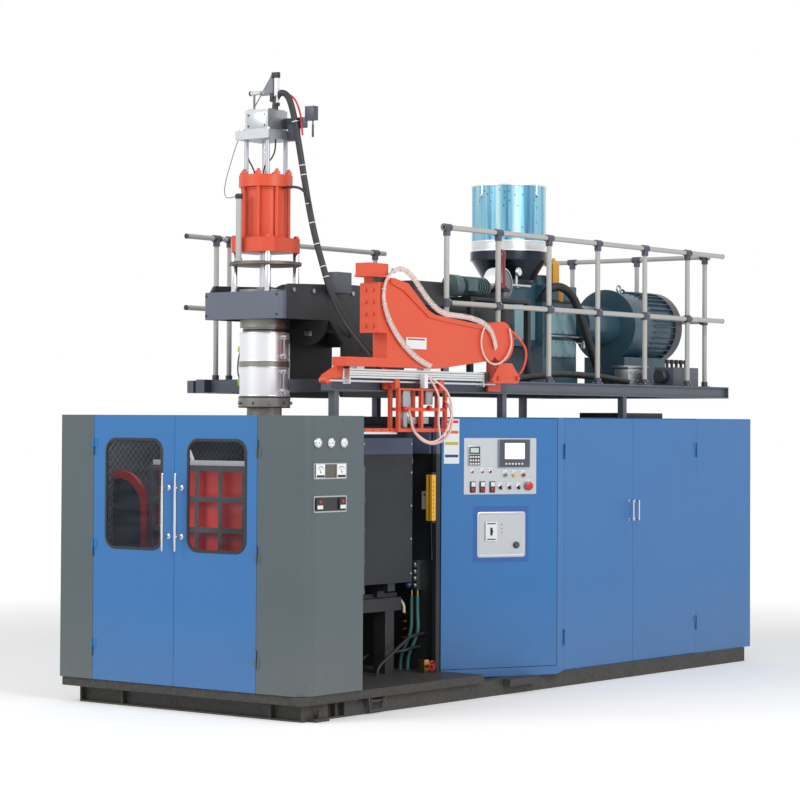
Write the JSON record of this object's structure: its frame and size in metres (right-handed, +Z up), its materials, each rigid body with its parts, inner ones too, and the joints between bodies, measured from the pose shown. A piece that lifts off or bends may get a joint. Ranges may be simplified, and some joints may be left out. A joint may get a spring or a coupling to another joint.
{
  "type": "blow moulding machine",
  "caption": "Accumulator-head blow moulding machine: guarded clamp with ribbed platens, die head on a platform with extruder and handrails, take-out arm and control cabinets.",
  "frame": {"origin": "centre of the rectangle of four anchor holes, at floor level", "axes": "+Y runs from the guard doors to the rear cabinets along the machine, +X points to the operator side, +Z is up"},
  "size_m": [2.386, 5.877, 4.32],
  "materials": {
    "base": "satin",
    "guard_grey": "satin",
    "blue": "satin",
    "glass": "gloss",
    "steel": "satin",
    "chrome": "polished",
    "instrument": "satin",
    "slate": "satin",
    "charcoal": "satin",
    "orange": "gloss",
    "red_platen": "satin",
    "mould": "satin",
    "teal": "gloss",
    "hopper": "gloss",
    "tube": "satin",
    "fitting": "satin",
    "rubber": "matte",
    "yellow": "satin",
    "green_button": "gloss",
    "yellow_button": "gloss",
    "red_button": "gloss",
    "black_plastic": "satin",
    "panel": "satin"
  },
  "bodies": {
    "machine": {"base_frame": "base", "guard_frame": "charcoal", "left_corner_panel": "guard_grey", "right_corner_panel": "guard_grey", "side_instruments": "instrument", "clamp_bed": "charcoal", "bay_panels": "charcoal", "bay_fittings": "yellow", "control_cabinet": "blue", "rear_cabinet": "blue", "platform_frame": "slate", "handrail_tubes": "tube", "rail_fittings": "fitting", "head_carrier": "slate", "die_head": "steel", "heater_bands": "steel", "shot_columns": "steel", "shot_cylinder": "orange", "actuator_frame": "steel", "transducer_bracket": "steel", "arm_housing": "orange", "arm_rail": "steel", "service_hoses": "rubber", "extruder_barrel": "charcoal", "extruder_gearbox": "teal", "main_motor": "teal", "motor_cowl": "teal", "hopper": "hopper", "loader_blower": "teal"},
    "left_guard_door": {"guard_door_left": "blue", "window_left": "glass", "door_pull_left": "chrome"},
    "right_guard_door": {"guard_door_right": "blue", "window_right": "glass", "door_pull_right": "chrome"},
    "front_clamp": {"platen_front": "red_platen", "mould_front": "mould", "tie_bars": "chrome", "clamp_yoke": "charcoal"},
    "rear_clamp": {"platen_rear": "red_platen", "mould_rear": "mould", "clamp_rod": "chrome"},
    "control_door": {"control_door": "blue", "control_plate": "panel"},
    "breaker_lever": {"breaker_lever": "black_plastic"},
    "button_green": {"button_green": "green_button"},
    "button_yellow": {"button_yellow": "yellow_button"},
    "button_red": {"button_red": "red_button"},
    "selector_1": {"selector_1": "black_plastic"},
    "selector_2": {"selector_2": "black_plastic"},
    "selector_3": {"selector_3": "black_plastic"},
    "estop_button": {"estop_button": "red_button"},
    "rear_door_front": {"rear_door_front": "blue"},
    "rear_door_rear": {"rear_door_rear": "blue"},
    "valve_handwheel": {"valve_handwheel": "red_button"},
    "lifting_shackle": {"lifting_shackle": "base"},
    "shot_ram": {"shot_ram": "chrome"},
    "gap_rod": {"gap_rod": "chrome"},
    "takeout_carriage": {"takeout_carriage": "orange"},
    "extruder_screw": {"extruder_screw": "steel"}
  },
  "joints": [
    {"name": "left_guard_door_hinge", "type": "hinge", "parent": "machine", "child": "left_guard_door", "pos_m": [-0.7685, -2.908, 1], "axis": [0, 0, -1], "range_deg": [0, 110]},
    {"name": "right_guard_door_hinge", "type": "hinge", "parent": "machine", "child": "right_guard_door", "pos_m": [0.6835, -2.908, 1], "axis": [0, 0, 1], "range_deg": [0, 110]},
    {"name": "control_door_hinge", "type": "hinge", "parent": "machine", "child": "control_door", "pos_m": [1.07847, -0.06064, 1], "axis": [0, 0, 1], "range_deg": [0, 105]},
    {"name": "rear_door_front_hinge", "type": "hinge", "parent": "machine", "child": "rear_door_front", "pos_m": [1.005, 0.1735, 1], "axis": [0, 0, -1], "range_deg": [0, 90]},
    {"name": "rear_door_rear_hinge", "type": "hinge", "parent": "machine", "child": "rear_door_rear", "pos_m": [1.005, 2.0375, 1], "axis": [0, 0, 1], "range_deg": [0, 90]},
    {"name": "front_platen_slide", "type": "slide", "parent": "machine", "child": "front_clamp", "axis": [0, 1, 0], "range_m": [0, 0.1295]},
    {"name": "rear_platen_slide", "type": "slide", "parent": "machine", "child": "rear_clamp", "axis": [0, 1, 0], "range_m": [-0.1295, 0]},
    {"name": "breaker_lever_pivot", "type": "hinge", "parent": "control_door", "child": "breaker_lever", "pos_m": [0.85355, -0.54361, 1.1385], "axis": [0.4509, 0.8926, 0], "range_deg": [-14, 14]},
    {"name": "button_green_push", "type": "slide", "parent": "control_door", "child": "button_green", "axis": [-0.8926, 0.4509, 0], "range_m": [0, 0.003], "stiffness_N_per_m": 800, "springref_m": -0.001},
    {"name": "button_yellow_push", "type": "slide", "parent": "control_door", "child": "button_yellow", "axis": [-0.8926, 0.4509, 0], "range_m": [0, 0.003], "stiffness_N_per_m": 800, "springref_m": -0.001},
    {"name": "button_red_push", "type": "slide", "parent": "control_door", "child": "button_red", "axis": [-0.8926, 0.4509, 0], "range_m": [0, 0.003], "stiffness_N_per_m": 800, "springref_m": -0.001},
    {"name": "selector_1_turn", "type": "hinge", "parent": "control_door", "child": "selector_1", "pos_m": [0.88089, -0.47396, 1.45], "axis": [0.8926, -0.4509, 0], "range_deg": [-45, 45]},
    {"name": "selector_2_turn", "type": "hinge", "parent": "control_door", "child": "selector_2", "pos_m": [0.91381, -0.4088, 1.45], "axis": [0.8926, -0.4509, 0], "range_deg": [-45, 45]},
    {"name": "selector_3_turn", "type": "hinge", "parent": "control_door", "child": "selector_3", "pos_m": [0.94672, -0.34364, 1.45], "axis": [0.8926, -0.4509, 0], "range_deg": [-45, 45]},
    {"name": "estop_push", "type": "slide", "parent": "control_door", "child": "estop_button", "axis": [-0.8926, 0.4509, 0], "range_m": [0, 0.005]},
    {"name": "valve_handwheel_turn", "type": "hinge", "parent": "machine", "child": "valve_handwheel", "pos_m": [0.7, -1.04, 0.215], "axis": [1, 0, 0], "range_deg": [0, 720]},
    {"name": "lifting_shackle_swing", "type": "hinge", "parent": "machine", "child": "lifting_shackle", "pos_m": [1.04, -2.105, 0.084], "axis": [0, 1, 0], "range_deg": [-75, 0]},
    {"name": "shot_ram_stroke", "type": "slide", "parent": "machine", "child": "shot_ram", "axis": [0, 0, 1], "range_m": [-0.13, 0.05]},
    {"name": "gap_rod_stroke", "type": "slide", "parent": "machine", "child": "gap_rod", "axis": [0, 0, 1], "range_m": [-0.01, 0.01]},
    {"name": "takeout_travel", "type": "slide", "parent": "machine", "child": "takeout_carriage", "axis": [0, 1, 0], "range_m": [-0.25, 0.25]},
    {"name": "extruder_screw_spin", "type": "hinge", "parent": "machine", "child": "extruder_screw", "pos_m": [0, -0.4, 2.7], "axis": [0, 1, 0], "continuous": true}
  ],
  "couplings": [
    {"joint": "rear_platen_slide", "follows": "front_platen_slide", "ratio": -1}
  ]
}
